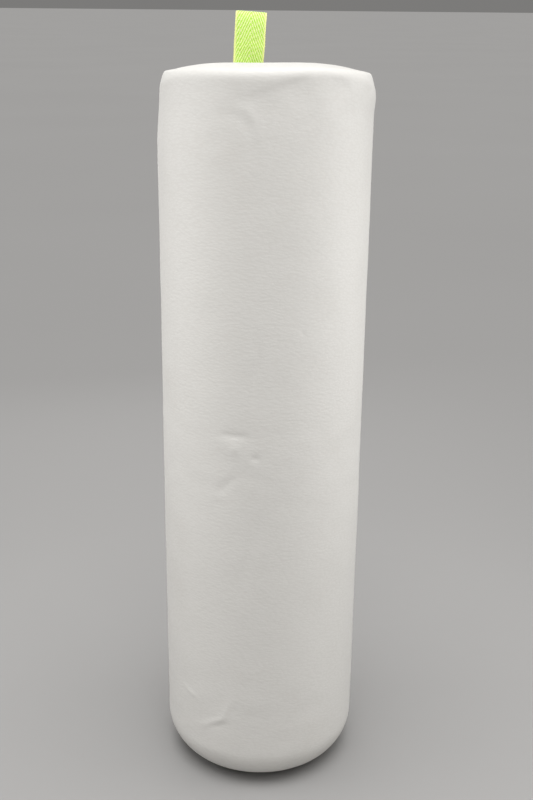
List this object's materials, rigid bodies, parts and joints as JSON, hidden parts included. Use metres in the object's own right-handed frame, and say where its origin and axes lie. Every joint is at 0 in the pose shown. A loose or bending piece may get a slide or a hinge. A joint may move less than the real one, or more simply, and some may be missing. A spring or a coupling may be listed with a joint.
{
  "type": "training bumper",
  "caption": "Round foam-filled dog training bumper in a sewn white leatherette cover, with a short lime webbing loop at one end for hanging or clipping a line.",
  "frame": {"origin": "centre of the bottom face, where the bumper stands on a surface", "axes": "+Z along the bumper towards the end with the loop, +Y towards the loop and the long seam"},
  "size_m": [0.085, 0.085, 0.3256],
  "materials": {
    "leatherette": "white coated leatherette with a fine pebbled grain, soft satin",
    "foam": "closed-cell foam, matte",
    "wadding": "fibrous wadding, matte",
    "thread": "white polyester thread",
    "webbing": "lime herringbone woven tape with a slight sheen"
  },
  "bodies": {
    "bumper": {"side_panel": "leatherette", "top_panel": "leatherette", "bottom_panel": "leatherette", "foam_core": "foam", "wadding_wrap": "wadding", "side_seam_thread": "thread", "top_seam_thread": "thread", "bottom_seam_thread": "thread", "closing_thread": "thread", "webbing_tails": "webbing", "loop_bar_tack": "thread"},
    "loop": {"webbing_loop": "webbing"}
  },
  "joints": [
    {"name": "loop_flex", "type": "hinge", "parent": "bumper", "child": "loop", "pos_m": [0, 0.0371, 0.30545], "axis": [1, 0, 0], "range_deg": [-90, 70], "stiffness_Nm_per_rad": 0.001}
  ]
}
